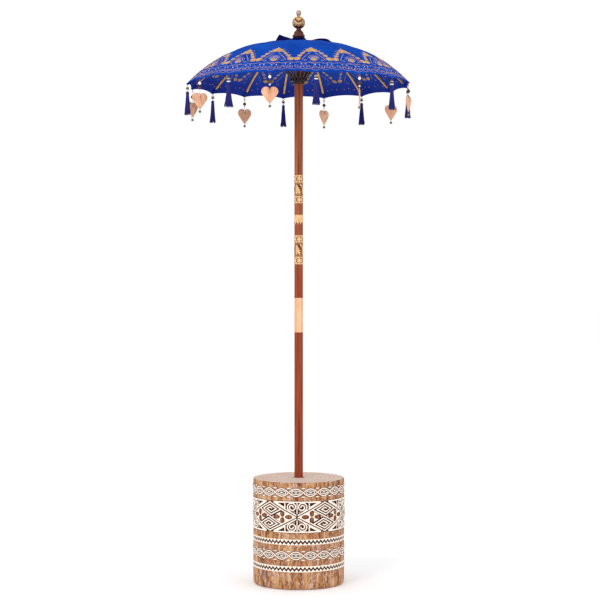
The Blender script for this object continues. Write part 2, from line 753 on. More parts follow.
def soft_light(name, place, aim, size, power):
    data = bpy.data.lights.new(name, "AREA")
    data.shape, data.size, data.energy = "DISK", size, power
    lamp = linked(name, data)
    lamp.location = place
    lamp.rotation_euler = (Vector(aim) - Vector(place)).to_track_quat("-Z", "Y").to_euler()


def make_studio():
    scene = bpy.context.scene
    scene.view_settings.view_transform = "Standard"
    world = bpy.data.worlds.new("studio")
    world.use_nodes = True
    world.node_tree.nodes["Background"].inputs["Color"].default_value = (1, 1, 1, 1)
    world.node_tree.nodes["Background"].inputs["Strength"].default_value = 1.04
    scene.world = world
    soft_light("key_light", (-3.2, -5.2, 4.2), (0, 0, 1.5), 2.6, 104)
    soft_light("fill_light", (3.6, -5.6, 2.2), (0, 0, 1.2), 2.6, 40)
    mesh = bpy.data.meshes.new("floor")
    n, half = 24, 60.0
    steps = [(2 * i / n - 1) * half for i in range(n + 1)]
    mesh.from_pydata([(x, y, 0) for y in steps for x in steps], [],
                     [(r * (n + 1) + c, r * (n + 1) + c + 1, (r + 1) * (n + 1) + c + 1,
                       (r + 1) * (n + 1) + c) for r in range(n) for c in range(n)])
    mesh.materials.append(FLOOR)
    floor = linked("floor", mesh)
    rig.stage(floor)


# ---------------------------------------------------------------- the carved drum

on_drum = wrapped(DRUM_R)
DRUM_GIRTH = TAU * DRUM_R
RIDGE = 6.7                      # width of a white ridge at its foot
# Heights over the drum's face: the foot of all carving, the ground, a groove and a white ridge
SUNK, FLUSH, STAIN, RELIEF = -1.0, 0.4, 0.9, 1.7
DIAMOND_W, DIAMOND_H, DIAMOND_Z = TAU * DRUM_R / 10, 65, 315
GROUND, BORDER = 0.985, 0.944    # a diamond's stained ground and white border, as shares of it
LINE_GAP = 0.0865                # from one line of a square spiral to the next, as a share


def bar(shell, path, width, high, looped=False, **more):
    """A rounded bar on the drum."""
    ribbon(shell, path, width, SUNK, high, on_drum, 0, looped, **more)


def raised(shell, outline, high, **more):
    """A low raised field on the drum."""
    patch(shell, outline, SUNK, high, on_drum, **more)


def ridge(white, stained, path, width=RIDGE, looped=False, groove=2.4, **more):
    """A whitewashed ridge and the stained groove on both sides of it."""
    bar(white, path, width, RELIEF, looped, **more)
    bar(stained, path, width + 2 * groove, STAIN, looped, **more)


def in_diamond(u, a, b):
    """Slanted coordinates of a diamond whose middle is at u: its edges are at a or b = -0.5 and 0.5."""
    return (u + DIAMOND_W * (a + b), DIAMOND_Z + DIAMOND_H * (a - b))


def square_spiral(lines):
    """Corners of a square spiral that fills a quarter of a diamond, from outside to its middle."""
    low_a, high_a, low_b, high_b = 0.0, 0.47, -0.47, -0.035
    path = [(low_a, low_b), (high_a, low_b), (high_a, high_b)]
    low_a += LINE_GAP
    for _ in range(lines):
        path.append((low_a, high_b))
        low_b += LINE_GAP
        path.append((low_a, low_b))
        high_a -= LINE_GAP
        path.append((high_a, low_b))
        high_b -= LINE_GAP
        path.append((high_a, high_b))
        low_a += LINE_GAP
        if low_a > high_a - LINE_GAP * 0.8:
            break
    return path


def carve_diamond(white, stained, wood, u):
    """A diamond with two square spirals, and four petals in its left and right quarters."""
    corners = [(0.5, -0.5), (0.5, 0.5), (-0.5, 0.5), (-0.5, -0.5)]
    ground = closed([in_diamond(u, a * GROUND, b * GROUND) for a, b in corners], 9)
    raised(stained, ground, FLUSH, rings=6)
    border = [in_diamond(u, a * BORDER, b * BORDER) for a, b in corners]
    ridge(white, stained, border, looped=True)
    upper = square_spiral(3)
    lower = [(-a, -b) for a, b in upper]
    ridge(white, stained, [in_diamond(u, a, b) for a, b in lower[::-1] + upper])
    for side in (1, -1):
        quarter = [(0.04, 0.04), (0.45, 0.04), (0.45, 0.45), (0.04, 0.45)]
        outline = [in_diamond(u, side * a, side * b) for a, b in quarter]
        raised(white, closed(outline, 9), 1.1, rings=4)
        middle = u + side * DIAMOND_W * 0.49
        for du, dv, a, b, turn in ((0, 13.8, 13, 9.8, 90), (0, -13.8, 13, 9.8, 90),
                                   (27.5, 0, 16, 8.8, 0), (-27.5, 0, 16, 8.8, 0)):
            at = (middle + du * side, DIAMOND_Z + dv)
            raised(stained, leaf(at, a + 1.0, b + 1.0, turn), 1.5)
            raised(wood, leaf(at, a - 2.2, b - 2.0, turn), RELIEF + 0.5)


def carve_field(white, stained, wood, u, up):
    """One of the two triangles between neighbouring diamonds, with its pair of curls."""
    def put(path):
        return [(u + x, DIAMOND_Z + up * y) for x, y in path]

    def three(shell, corners, side, high):
        corners = [(side * x, y) for x, y in corners]
        raised(shell, put(closed(corners, 6)), high)

    outline = closed([(0, 3.5), (118, 64.5), (-118, 64.5)], 9)
    raised(stained, put(outline), FLUSH, rings=6)
    ridge(white, stained, put([(-105, 64.5), (105, 64.5)]), 7.2)
    for side in (1, -1):
        bar(stained, put([(side * 3, 3.2), (side * 123, 65.2)]), 8.5, STAIN)
        ridge(white, stained, put([(side * 9, 11.4), (side * 106, 61.6)]), 6.0)
        spiral = curl((22, 42.5), 0, 560, lambda t: 20.3 - 15.5 * t / 560, 64)
        spiral = [(side * x, y) for x, y in spiral]
        foot = [(side * x, y) for x, y in ((3, 7.5), (14, 13.5), (26, 20.5), (35, 28), (40.5, 36))]
        ridge(white, stained, put(foot + spiral), 6.8, step=5)
        three(white, [(50, 62.5), (102, 62.5), (50, 34.5)], side, 1.8)
        three(stained, [(54.5, 61), (88, 61), (54.5, 43)], side, 2.1)
        three(wood, [(59.5, 58.4), (76, 58.4), (59.5, 49.5)], side, RELIEF)
        for x, y, turn in ((10.5, 21.5, 60), (17, 24, 75)):
            raised(white, put(leaf((side * x, y), 3.6, 1.5, side * turn)), 2.0)
    ridge(white, stained, put([(0, 14), (0, 62)]), 5.6)


def carve_chain(white, stained, v):
    """Two strands that twist round each other to make a chain of eyes round the drum."""
    links, rise, shift = 20, 16.0, 20
    long = DRUM_GIRTH / links

    def strand(side, steps):
        return [(shift + i * long / 10, v + side * rise * math.sin(math.pi * i / 10)) for i in steps]

    for side in (1, -1):
        ridge(white, stained, strand(side, range(links * 10)), 6.2, looped=True, step=20,
              around=DRUM_GIRTH)
    for i in range(links):
        over = strand(1 if i % 2 else -1, range(10 * i - 3, 10 * i + 4))
        bar(stained, over, 10.5, RELIEF + 0.4, step=20)
        bar(white, over, 6.4, RELIEF + 1.2, step=20)
        middle = (shift + (i + 0.5) * long, v)
        raised(stained, leaf(middle, 23, 11.5, 0, 8), STAIN, rings=3)
        ridge(white, stained, leaf(middle, 18.5, 7.6, 0, 8), 4.8, looped=True, step=20, groove=1.0)
        raised(white, leaf(middle, 8.5, 2.4), 2.2)
        for side in (1, -1):
            dash = (shift + i * long, v + side * 18.5)
            raised(stained, leaf(dash, 11, 3.6), STAIN)
            raised(white, leaf(dash, 9.5, 2.6), 2.2)


def carve_teeth(white, stained, low, high):
    """Two white strips whose teeth mesh across a dark zigzag."""
    teeth, gap, depth = 70, 5.2, 5.6
    long = DRUM_GIRTH / teeth
    middle = (low + high) / 2
    columns = teeth * 2
    zig = [(i * long / 2, middle + (depth if i % 2 else -depth)) for i in range(columns)]
    for outer, side in ((high, 1), (low, -1)):
        rings = []
        for u, v in zig:
            inner = v + side * gap
            rings.append([on_drum(u, outer, SUNK), on_drum(u, outer - side * 1.0, RELIEF * 0.8),
                          on_drum(u, inner + side * 0.4, RELIEF * 0.8), on_drum(u, inner, SUNK)])
        white.loft(rings, 0, True)
    rings = [[on_drum(u, middle + dv, h) for dv, h in ((10, SUNK), (10, 0.3), (-10, 0.3), (-10, SUNK))]
             for u, _ in zig]
    stained.loft(rings, 0, True)


def make_drum():
    white, stained, wood = Shell(), Shell(), Shell()
    for i in range(5):
        u = math.radians(-2 + 72 * i) * DRUM_R
        carve_diamond(white, stained, wood, u + DIAMOND_W)
        for up in (1, -1):
            carve_field(white, stained, wood, u, up)
    for v in (420, 149):
        carve_chain(white, stained, v)
    for low, high in ((194, 218.7), (77.3, 103.7)):
        carve_teeth(white, stained, low, high)
    white.piece("drum_white_carving", "drum", "carved_wood", [WHITEWASH], crease=30)
    stained.piece("drum_carved_grooves", "drum", "carved_wood", [GROOVE], crease=30)
    wood.piece("drum_carved_petals", "drum", "carved_wood", [PETAL_WOOD], crease=30)


# ---------------------------------------------------------------- the gilded bands of the pole

on_pole = wrapped(POLE_R)
GIRTH = TAU * POLE_R
ROOT = -0.4                      # how deep the bands' ornament starts, in millimetres


def sleeve(shell, low, high, height, kind):
    """A thin skin round the pole, rounded at its two ends."""
    root, shoulder, face = POLE_R - 0.6, POLE_R + height * 0.7, POLE_R + height
    spun(shell, [(root, low), (shoulder, low + 0.1), (face, low + 1), (face, high - 1),
                 (shoulder, high - 0.1), (root, high)], kind)


def fine_line(shell, v, width, height, kind):
    """A fine raised line right round the pole."""
    ribbon(shell, [(GIRTH * i / 40, v) for i in range(40)], width, ROOT, height, on_pole, kind, True,
           around=GIRTH)


def scroll_strip(shell, low, high):
    """Gold ground with dark hooks and dots between two fine lines."""
    sleeve(shell, low, high, 0.45, 0)
    middle, tall, repeats = (low + high) / 2, (high - low) / 2 - 4, 4
    for i in range(repeats):
        u = GIRTH * i / repeats - 2
        hook = arc((u, middle), (7.6, tall * 0.70), 66, 294, 18)
        ribbon(shell, hook, 6.0, ROOT, 0.85, on_pole, 1, step=3, taper=True)
        for dv in (0.62, -0.62):
            dot = oval((u + 11.5, middle + dv * tall), 3.4, 4.4, 10)
            patch(shell, dot, ROOT, 0.85, on_pole, 1, rings=1, bevel=0.5)
    for v in (low + 1.2, high - 1.2):
        fine_line(shell, v, 1.8, 0.8, 1)


# A leaning leaf: a straight left side, and teeth down its slope, as shares of its place
LEAF = ((0.0, 0.0), (0.22, 0.0), (0.40, 0.16), (0.56, 0.0), (0.78, 0.0), (0.66, 0.14), (0.90, 0.22),
        (0.60, 0.32), (0.80, 0.44), (0.46, 0.54), (0.62, 0.66), (0.32, 0.74), (0.38, 0.88),
        (0.14, 1.0), (0.04, 0.76), (0.0, 0.36))
HANGING_LEAF = ((0.60, 1.0), (0.94, 1.0), (0.94, 0.52), (0.86, 0.72), (0.76, 0.84))


def leaf_strip(shell, low, high):
    """Dark ground with a row of leaning gold leaves, each with a toothed slope."""
    sleeve(shell, low, high, 0.3, 1)
    repeats, tall = 4, high - low - 6
    wide = GIRTH / repeats
    for i in range(repeats):
        u, v = wide * i - 15, low + 3

        def gold(shares, rings):
            outline = closed([(u + x * wide, v + y * tall) for x, y in shares], 4)
            patch(shell, outline, ROOT, 0.95, on_pole, 0, rings=rings, bevel=0.5)

        gold(LEAF, 3)
        for at in (0.3, 0.5, 0.7):
            vein = [(u + wide * 0.14, v + tall * (at + 0.06)),
                    (u + wide * (0.62 - at * 0.5), v + tall * at)]
            ribbon(shell, vein, 1.2, 0.5, 1.1, on_pole, 1, step=3, taper=True)
        gold(HANGING_LEAF, 2)
    for v in (low + 1, high - 1):
        fine_line(shell, v, 1.6, 0.8, 0)


def plain_strip(shell, low, high):
    """A plain gilded ring with dark nicks along its lower edge."""
    sleeve(shell, low, high, 0.45, 0)
    nicks = 10
    for i in range(nicks):
        u = GIRTH * i / nicks + 2
        nick = [(u - 5.2, low + 0.4), (u + 5.2, low + 0.4), (u, low + 11.5)]
        patch(shell, closed(nick, 4), ROOT, 0.75, on_pole, 1, rings=1, bevel=0.3)
    fine_line(shell, high - 1.4, 1.6, 0.7, 1)


def make_bands():
    strips = ((scroll_strip, 1757.4, 1793.5), (leaf_strip, 1705.0, 1754.5),
              (scroll_strip, 1667.0, 1702.0), (plain_strip, 1576.0, 1619.0),
              (scroll_strip, 1494.0, 1529.5), (leaf_strip, 1439.0, 1491.5),
              (scroll_strip, 1399.0, 1436.0))
    shell = Shell()
    for strip, low, high in strips:
        strip(shell, low, high)
    shell.piece("pole_bands", "upper_pole", "pole_wood", [BAND_GOLD, BAND_DARK], crease=35)


# ---------------------------------------------------------------- the canopy

def dome_z(r):
    return RIM_Z + DOME_H * (1 - (max(r, 0) / RIM_R) ** DOME_POWER)


def rib_angle(k):
    return FIRST_ANGLE + (k - 1) * PITCH


def on_cloth(k, share, across, height):
    """A point of the cloth over rib k. share is 0 at the crown and 1 at the edge, across is 0 on the
    rib and -1 or 1 on the middle of a panel, height is above the cloth's upper face."""
    side = math.copysign(1, across)
    lane = 1 - abs(across)                       # 1 over the rib, 0 in mid-panel
    edge = RIM_R - SCALLOP * (1 - lane ** 2) / math.cos(HALF)
    r = edge * share
    sag = SAG * (1 - lane ** 2) * math.sin(math.pi * min(share, 1)) ** 0.8
    out, along = r * math.cos(HALF), r * math.sin(HALF) * lane
    angle = math.radians(rib_angle(k)) + side * HALF
    x = out * math.cos(angle) + side * along * math.sin(angle)
    y = out * math.sin(angle) - side * along * math.cos(angle)
    slope = DOME_H * DOME_POWER / RIM_R * (r / RIM_R) ** (DOME_POWER - 1)
    lean = math.atan(slope)
    lift = height - sag
    away = math.sin(lean) * lift
    return ((x + away * math.cos(angle)) * MM, (y + away * math.sin(angle)) * MM,
            (dome_z(r) + math.cos(lean) * lift) * MM)


INNER_SHARE, BODY_END = 46 / RIM_R, 0.975     # a sector's first row, and its last before the hem
CROWN_TO_EDGE = 0.55                          # the cloth's length over a rib, in metres
PANEL_COLS, PANEL_ROWS = 8, 26                # mesh columns from the rib to mid-panel, and rows
PLEAT_COLS, PLEAT_T = 8, 0.25                 # a pleat's columns and its thickness in millimetres
SHEET_T, HEM_T = 1.1, 1.0                     # the drawn cloth's thickness, and the hem's extra
SAG = 2.2                                     # how far a panel sags between its ribs
# How far past mid-panel the pleats go, in half panels, at some shares of the way to the edge
PLEAT_REACH = ((0.09, 1.88), (0.15, 1.86), (0.2, 1.62), (0.25, 1.44), (0.3, 1.31), (0.4, 1.1),
               (0.5, 0.92), (0.7, 0.56), (0.9, 0.19), (0.98, 0.04))
PAINT_W = RIM_R * math.sin(HALF)              # half a sector's width at the edge


def cloth_thickness(share):
    """The cloth's thickness, with a rolled hem along its edge."""
    return SHEET_T + HEM_T * max(0.0, min(1.0, (share - 0.982) / 0.008))


def panel_shares():
    return [INNER_SHARE + (BODY_END - INNER_SHARE) * (i / PANEL_ROWS) ** 0.85
            for i in range(PANEL_ROWS + 1)]


def pleat_reach(share):
    """How far past mid-panel the pleat goes, in half panels, so that it meets the next sector's
    pleat when the parasol is closed."""
    for (s0, r0), (s1, r1) in zip(PLEAT_REACH, PLEAT_REACH[1:]):
        if share <= s1:
            break
    return r0 + (r1 - r0) * (share - s0) / (s1 - s0)


def add_pleats(k, shell, maps):
    """The cloth that shows only between the ribs of the closed parasol. Open, each pleat lies in
    the thickness of the next sector, and the two that share a sector lie at different depths."""
    for side, depth in ((1, 0.2), (-1, 0.62)):
        rings = []
        for share in panel_shares():
            reach = pleat_reach(share) + 0.05
            steps = [reach * j / PLEAT_COLS - 1.05 for j in range(PLEAT_COLS + 1)]
            upper = [on_cloth(k + side, share, side * t, -depth) for t in steps]
            lower = [on_cloth(k + side, share, side * t, -depth - PLEAT_T) for t in steps]
            rings.append(upper + lower[::-1])
            maps += [(side * (2 + t) * PAINT_W * share * MM, share * CROWN_TO_EDGE)
                     for t in steps + steps[::-1]]
        shell.loft(rings)


def make_sheet(k):
    """The sector of the canopy that rib k carries, from mid-panel to mid-panel."""
    cols = [i / PANEL_COLS - 1 for i in range(2 * PANEL_COLS + 1)]
    shares = panel_shares() + [0.982, 0.988, 0.994, 0.998, 1.0]
    points, maps = [], []
    for face in (0, 1):
        for share in shares:
            for across in cols:
                t = cloth_thickness(share)
                bead = (t - SHEET_T) * 0.5
                points.append(on_cloth(k, share, across, bead - t * face))
                maps.append((across * PAINT_W * share * MM, share * CROWN_TO_EDGE))
    n, rows = len(cols), len(shares)
    under, last = rows * n, (rows - 1) * n
    faces = [(a, a + 1, a + n + 1, a + n) for skin in (0, under) for i in range(rows - 1)
             for a in range(skin + i * n, skin + i * n + n - 1)]
    upper = len(faces) // 2
    rim = [(j + row, j + row + 1) for j in range(n - 1) for row in (0, last)]
    rim += [(i * n + c, i * n + c + n) for i in range(rows - 1) for c in (0, n - 1)]
    faces += [(a, b, under + b, under + a) for a, b in rim]
    shell = Shell()
    shell.add(points, faces)
    shell.kinds = [0] * upper + [1] * (len(faces) - upper)
    add_pleats(k, shell, maps)
    sheet = shell.piece(f"canopy_cloth_{k}", f"rib_{k}", "painted_cloth", [CLOTH, LINING], crease=50)
    lay_out(sheet, lambda vertex: maps[vertex.index])
    return sheet


def make_pocket(k):
    """The little cloth pocket, sewn under the canopy's edge, that holds the tip of rib k."""
    n, rings = 12, []
    shares = (0.957, 0.960, 0.968, 0.977, 0.986, 0.994, 0.997)
    for share in shares:
        outer, inner = [], []
        end = (share - shares[0]) / (shares[-1] - shares[0])
        wide = 0.070 - 0.026 * end
        deep = 10.6 - 6.0 * max(0.0, end - 0.35) - 0.6 * math.sin(9 * end)
        for j in range(n + 1):
            across = wide * (2 * j / n - 1)
            hang = max(0.0, 1 - (2 * j / n - 1) ** 4) ** 0.5
            outer.append(on_cloth(k, share, across, -2.4 - deep * hang))
            inner.append(on_cloth(k, share, across, -1.6 - (deep - 0.2) * hang * 0.93))
        rings.append(outer + inner[::-1])
    shell = Shell()
    shell.loft(rings)
    return shell.piece(f"canopy_pocket_{k}", f"rib_{k}", "painted_cloth", [LINING], crease=60)


def painter(k, under):
    """Maps painted coordinates on to the cloth over rib k: u is millimetres across from the rib
    line, v is thousandths of the way from the crown's centre to the edge."""
    side = -1 if under else 1

    def place(u, v, h):
        share = v / 1000
        across = u / (PAINT_W * share)
        skin = -SHEET_T if under else 0.0
        return on_cloth(k, share, max(-1, min(1, across)), skin + side * h)
    return place


def blob(u, v, a, b, turn=0):
    c, s = math.cos(math.radians(turn)), math.sin(math.radians(turn))
    return [(u + x * c - y * s, v + (x * s + y * c) * 1.8) for x, y in oval((0, 0), a, b, 12)]


# The stepped lobes down each side of a peak: place along the girth, place down the cloth, half
# length, half width, and lean in degrees
LOBES = ((16, 730, 9.5, 5.4, 38), (28, 759, 10.5, 6.0, 36), (41, 792, 11.5, 6.6, 33),
         (55, 828, 12.5, 7.4, 30), (70, 869, 16.5, 10.5, 22))


def whorl(side, u, v, turn, n):
    """A curl that winds inwards, on one side of the rib."""
    start = 90 - side * 90
    return curl((side * u, v), start, 90 + side * turn,
                lambda t: 9 * math.exp(-abs(t - start) / 330), n)


def paint_gunungan(gold, pale, place):
    """A stepped golden peak on the rib, with an eye under arches inside it."""
    low, high = -0.25, 0.45

    def stroke(shell, path, width, **more):
        ribbon(shell, path, width, low, high, place, step=7, **more)

    def field(outline):
        patch(gold, outline, low, high, place, rings=2, bevel=1.2)

    crown = [(0, 680), (4, 700), (9, 702), (12, 720), (21, 726), (20, 744), (26, 758), (14, 772),
             (0, 758)]
    field(closed(crown + [(-u, v) for u, v in crown[-2:0:-1]], 6))
    for side in (1, -1):
        for u, v, a, b, lean in LOBES:
            field(blob(side * u, v, a, b, side * lean))
            patch(pale, blob(side * (u + 9), v - 12, 1.6, 1.6), low, high, place, rings=1)
        stroke(gold, [(side * 11, 782), (side * 24, 812), (side * 37, 842), (side * 52, 886)], 2.6)
        stroke(gold, whorl(side, 38, 884, 300, 18), 2.6, taper=True)
    for r, shell in ((15, pale), (21, pale), (27, gold)):
        stroke(shell, [(r * math.cos(math.radians(t)), 880 - 2.3 * r * math.sin(math.radians(t)))
                       for t in range(8, 173, 12)], 2.6, taper=True)
    field(blob(0, 872, 17, 7.5))
    field(blob(0, 850, 7, 5))
    stroke(gold, [(-28, 900), (-14, 908), (0, 903), (14, 908), (28, 900)], 2.8, taper=True)


def paint_border(gold, pale, place):
    """The filigree band under the peaks: pale dots over curls, between two wavy lines."""
    low, high = -0.25, 0.42
    for v, width in ((914, 2.6), (977, 2.4)):
        reach = PAINT_W * v / 1000
        line = [(reach * i / 12, v + 5 * math.cos(math.pi * i / 3)) for i in range(-12, 13)]
        ribbon(gold, line, width, low, high, place, step=10)
    for i in range(-4, 5):
        if i % 3 != 2:
            patch(pale, blob(i * 19, 929, 3.0, 2.6), low, high + 0.15, place, rings=1)
    for i in range(-3, 4):
        for side in (1, -1):
            swirl = curl((i * 25.5 + side * 5.5, 0), 0, side * 330,
                         lambda t: 8.5 * math.exp(-abs(t) / 300), 14)
            swirl = [(u, 954 + v * 1.7) for u, v in swirl]
            ribbon(gold, swirl, 2.2, low, high, place, step=6, taper=True)
        patch(pale, blob(i * 25.5 + 12.7, 962, 1.8, 1.8), low, high, place, rings=1)


def paint_under(shell, place):
    """What shows of the paint from below: the peaks' lobes, a few petals and dots."""
    low, high = -0.2, 0.3

    def field(outline):
        patch(shell, outline, low, high, place, rings=1, bevel=1.0)

    for side in (1, -1):
        for u, v, a, b, lean in LOBES:
            field(blob(side * u, v, a * 0.85, b * 0.75, side * (lean + 8)))
        ribbon(shell, [(side * 11, 782), (side * 24, 812), (side * 37, 842), (side * 50, 880)], 2.0,
               low, high, place, step=7, taper=True)
        ribbon(shell, whorl(side, 36, 886, 270, 14), 2.2, low, high, place, step=6, taper=True)
    for i in range(-3, 4):
        field(blob(i * 24, 940 + 8 * (i % 2), 3.4, 2.0, 35 * i))


def make_canopy():
    for k in range(1, RIBS + 1):
        angle = math.radians(rib_angle(k))
        sheet = make_sheet(k)
        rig.replaces(sheet, "canopy")
        top, pale, under = Shell(), Shell(), Shell()
        above, below = painter(k, False), painter(k, True)
        paint_gunungan(top, pale, above)
        paint_border(top, pale, above)
        paint_under(under, below)
        top.add(pale.points, pale.faces, 1)
        paints = [top.piece(f"canopy_gold_{k}", f"rib_{k}", "painted_cloth", [GOLD, PALE]),
                  under.piece(f"canopy_gold_under_{k}", f"rib_{k}", "painted_cloth", [GOLD_THIN])]
        pocket = make_pocket(k)
        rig.replaces(pocket, "canopy")
        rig.sheet(pocket, flat=(0.026, 0.020), held="stretched", rests_on=[f"rib_{k}"])
        for piece in (sheet, pocket, *paints):
            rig.squash(piece, "runner_slide", axis=(-math.sin(angle), math.cos(angle), 0),
                      anchor=(0, 0, 2.3), keep=0.27)
        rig.sheet(sheet, flat=(0.193, 0.53), held="stretched", rests_on=[f"rib_{k}"],
                 area=0.0575, with_pieces=paints)


def make_crown_cap():
    """The round patch sewn over the inner ends of the panels."""
    shell = Shell()
    profile = [(12.0, 1.1), (24, 1.3), (38, 1.3), (50, 1.2), (57, 0.9), (59, 0.2), (57, -0.3),
               (50, -0.2), (38, 0.0), (24, 0.0), (12.0, 0.0)]

    def outline(a):
        ripple = 0.25 * math.sin(RIBS * a + 1)
        return [(r, dome_z(r) + z + 0.5 + ripple * (r > 30)) for r, z in profile]

    spun(shell, outline)
    cap = shell.piece("canopy_crown_cap", "upper_pole", "painted_cloth", [CLOTH])
    lay_out(cap, lambda vertex: vertex.co.xy)
    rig.replaces(cap, "canopy")
    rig.sheet(cap, flat=(0.118, 0.118), held="stretched", rests_on=["top_notch"], area=0.0109)


# ---------------------------------------------------------------- the crown's tie and the finial

ROLL_R, ROLL_Z, ROLL_T = 21.4, 2385.2, 10.3   # the cloth rolled round the peg, and its thickness
# The tie's two ends: (x, height) in millimetres along the ridge of each
FOLD_RIDGE = ((-104, 2379), (-99, 2388), (-92, 2401), (-84, 2411), (-74, 2406.5), (-62, 2401),
              (-49, 2397), (-36, 2393), (-24, 2390))
TAIL_RIDGE = ((24, 2389), (38, 2386.5), (56, 2386), (72, 2389.5), (92, 2391.5), (114, 2391),
              (128, 2388), (138, 2382.5), (145, 2377))


def tent_of_cloth(name, rib, ridge_line, half_width, seed):
    """A folded strip whose ridge stands over the dome along (x, height) millimetres, and whose two
    sides fall softly to the canopy."""
    line = smooth_path([(x, 0, z) for x, z in ridge_line], 4)
    cols, thick = 20, 1.4
    rings = []
    for i, (x, _, top) in enumerate(line):
        upper, lower = [], []
        end = min(i, len(line) - 1 - i) / 4
        along = i / (len(line) - 1)
        wide = half_width * (0.62 + 0.28 * min(1, end) + 0.16 * math.sin(7 * along + seed))
        sway = 6.5 * math.sin(4.2 * along + seed) * min(1, abs(x) / 60)
        for j in range(cols + 1):
            s = 2 * j / cols - 1
            y = s * wide * (1 + 0.22 * math.copysign(1, s) * math.sin(9 * along + 2 * seed)) + sway
            rest = dome_z(math.hypot(x, y)) + 2.3
            stand = max(0.3, top - rest) * (1 - abs(s) ** 1.9)
            crease = 0.7 * math.sin(9 * s + 0.35 * i + seed) * (1 - abs(s)) * min(1, end)
            for row, drop in ((upper, 0), (lower, thick)):
                row.append((x * MM, (y + crease) * MM, (rest + stand + crease - drop) * MM))
        rings.append(upper + lower[::-1])
    shell = Shell()
    shell.loft(rings)
    piece = shell.piece(name, None, "navy_cloth", [TIE_CLOTH], crease=70)
    lay_out(piece, lambda vertex: vertex.co.xy)
    side = math.copysign(1, ridge_line[len(ridge_line) // 2][0])
    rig.blend(piece, "upper_pole", rib, start=(side * 0.022, 0, 2.39), end=(side * 0.055, 0, 2.39))
    return piece


def smooth_path(points, n):
    """A Catmull-Rom curve through some points, n steps for each span."""
    ends = [points[0], *points, points[-1]]
    out = []
    for a, b, c, d in zip(ends, ends[1:], ends[2:], ends[3:]):
        for i in range(n):
            t = i / n
            out.append(tuple(0.5 * (2 * q + (r - p) * t + (2 * p - 5 * q + 4 * r - s) * t * t
                                    + (3 * q - p - 3 * r + s) * t ** 3)
                             for p, q, r, s in zip(a, b, c, d)))
    return out + [points[-1]]


def make_crown_tie():
    """Navy cloth rolled round the peg, with a standing fold on the left and a tail on the right."""
    def roll(a):
        out = []
        for i in range(20):
            b = TAU * i / 20
            r = ROLL_T + 0.9 * math.sin(3 * b + 5 * a) + 0.5 * math.sin(7 * a + 2 * b)
            out.append((ROLL_R + r * math.cos(b), ROLL_Z + r * math.sin(b)))
        return out

    shell = Shell()
    spun(shell, roll, n=72)
    collar = shell.piece("crown_tie_collar", "upper_pole", "navy_cloth", [TIE_CLOTH], crease=80)
    lay_out(collar, lambda vertex: (vertex.co.x + vertex.co.y, vertex.co.z * 2))
    fold = tent_of_cloth("crown_tie_fold", "rib_9", FOLD_RIDGE, 17, 0.4)
    tail = tent_of_cloth("crown_tie_tail", "rib_1", TAIL_RIDGE, 16, 1.9)
    for piece in (collar, fold, tail):
        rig.replaces(piece, "crown_tie")
    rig.padded(collar, fill=0.7)
    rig.sheet(fold, flat=(0.052, 0.09), held="folded", rests_on=[collar])
    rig.sheet(tail, flat=(0.036, 0.125), held="laid", rests_on=[collar])


def make_finial():
    """Turned and gilded: stepped feet, a carved ball and a small flat-topped knob."""
    n = 96
    shell = Shell()
    feet = [(10.3, 0), (25.5, 0), (27, 1.4), (27, 8.4), (25.4, 10), (22.4, 10.2), (22, 11.6),
            (20.4, 21.6), (19.4, 23), (14.5, 27.4), (11, 31), (10.4, 33), (10.4, 38), (10.3, 38)]
    spun(shell, feet, 1, n, (0, 0, FINIAL_Z))
    ball_r, ball_z, rows = 27.6, 63, 40
    lowest, highest, dark_under = -68, 76, -34
    for low, high, kind in ((lowest, dark_under, 1), (dark_under, highest, 0)):
        steps = max(4, rows * (high - low) // (highest - lowest))
        lathe = arc((0, ball_z), ball_r, low, high, steps)
        shell.loft(turned(lathe, n, centre=(0, 0, FINIAL_Z)), kind)

    def on_ball(u, v, h):
        a, b, r = u / ball_r, v / ball_r, ball_r + h
        return (r * math.cos(b) * math.sin(a) * MM, -r * math.cos(b) * math.cos(a) * MM,
                (FINIAL_Z + ball_z + r * math.sin(b)) * MM)

    round_it, waves = TAU * ball_r, 4
    for v, width, kind, high in ((2.5, 14.0, 2, 0.4), (-1.8, 6.4, 3, 1.2), (-13.5, 11.0, 1, 0.4),
                                 (-12.2, 5.0, 0, 1.1), (11.4, 2.6, 1, 0.6)):
        zigzag = [(round_it * i / (2 * waves), v + (8 if i % 2 else -8)) for i in range(2 * waves)]
        ribbon(shell, zigzag, width, -0.5, high, on_ball, kind, True, step=3, around=round_it)
    ribbon(shell, [(round_it * i / 64, 24.5) for i in range(64)], 2.0, -0.5, 0.7, on_ball, 1, True,
           around=round_it)
    knob = [(0.01, 86), (7.4, 86.5), (7.2, 92), (7.6, 95), (9.4, 97.4), (10.8, 100), (11, 104),
            (10.8, 109), (10.2, 113), (9, 115.4), (7, 116.6), (3, 116.9), (0.01, 117)]
    shell.loft(turned(knob, 48, centre=(0, 0, FINIAL_Z)), 4)
    piece = shell.piece("finial_carved", "finial", "gilt_wood",
                        [FINIAL_GOLD, FINIAL_DARK, FINIAL_RED, FINIAL_PALE, FINIAL_KNOB], crease=35)
    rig.replaces(piece, "finial")


# ---------------------------------------------------------------- hearts and tassels

HEART_W, HEART_H, HEART_T = 70, 68, 5
HEART_TURNS = (35, 51, 30, 50, 28, 4, 86, 68)   # how far each heart is turned, in degrees
NOTCH_DROP, LOOP_R, SMALL_LOOP_R, WIRE_R, CORD_R = -14.5, 9, 5.5, 0.7, 1.0
UPPER_HOLE, LOWER_HOLE, HEART_TOP = -23.5, -63.0, -58.0
TASSEL_LEN, SKIRT_TOP, RING_R = 104, -33, 5
